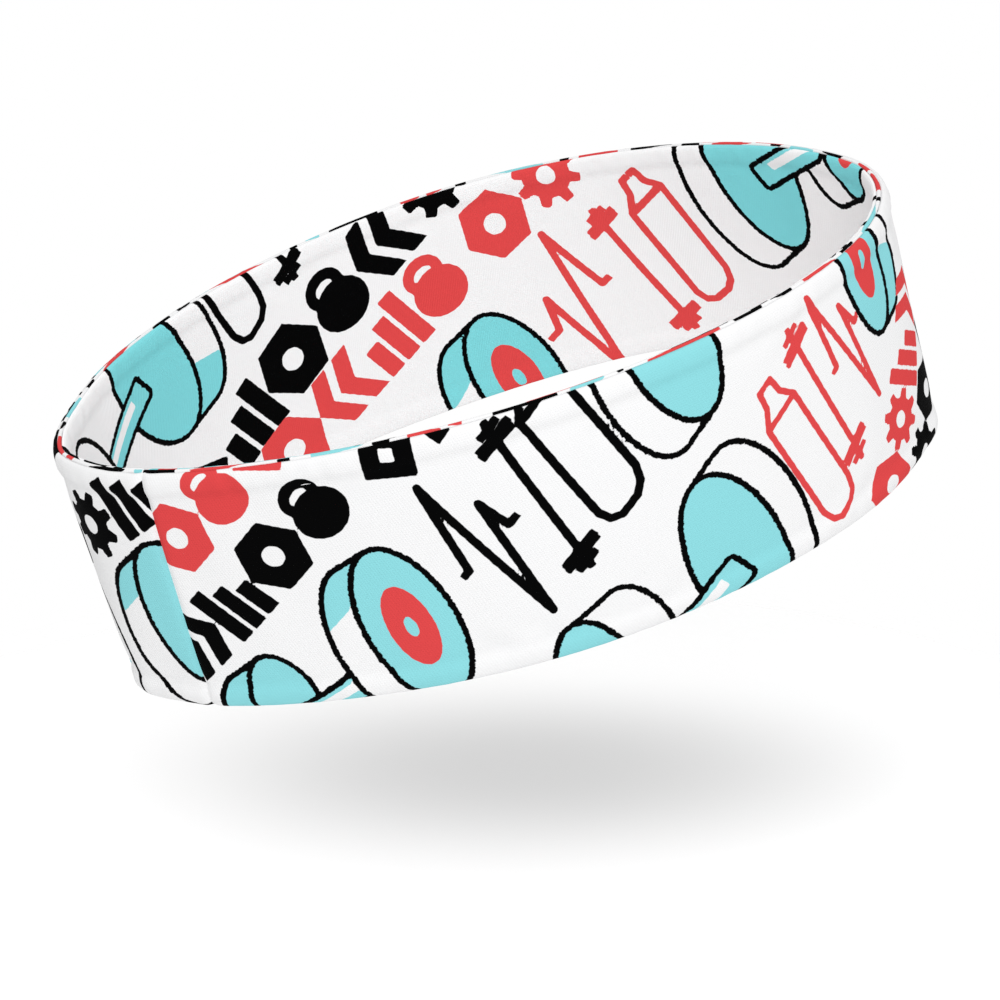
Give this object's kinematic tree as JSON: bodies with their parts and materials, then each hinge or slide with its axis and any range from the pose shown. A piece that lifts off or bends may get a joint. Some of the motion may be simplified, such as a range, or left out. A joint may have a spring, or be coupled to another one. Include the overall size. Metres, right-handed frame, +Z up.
{
  "type": "stretch fabric headband",
  "caption": "Wide stretch fabric headband: a printed outer layer and a lining, sewn into an oval tube that is open above and below.",
  "frame": {"origin": "middle of the footprint of the lower edge, on the surface that the band stands on", "axes": "+Z up, along the axis of the loop; +X along the loop's long way; -Y is the front, away from the fuller rear curve"},
  "size_m": [0.2236, 0.1387, 0.066],
  "materials": {
    "printed_knit": "smooth polyester and elastane knit, white with a black, red and turquoise print",
    "printed_lining": "the same knit and print, on the inside",
    "edge_knit": "the same knit, folded and sewn along the edges",
    "thread": "white polyester sewing thread"
  },
  "bodies": {
    "root": {"outer_panel": "printed_knit", "lining_panel": "printed_lining", "top_edge_strip": "edge_knit", "bottom_edge_strip": "edge_knit", "top_outer_margin": "edge_knit", "top_lining_margin": "edge_knit", "bottom_outer_margin": "edge_knit", "bottom_lining_margin": "edge_knit", "outer_back_seam_margins": "printed_knit", "lining_back_seam_margins": "printed_lining", "top_outer_thread": "thread", "top_lining_thread": "thread", "bottom_outer_thread": "thread", "bottom_lining_thread": "thread", "outer_back_seam_thread": "thread", "lining_back_seam_thread": "thread"}
  },
  "joints": []
}
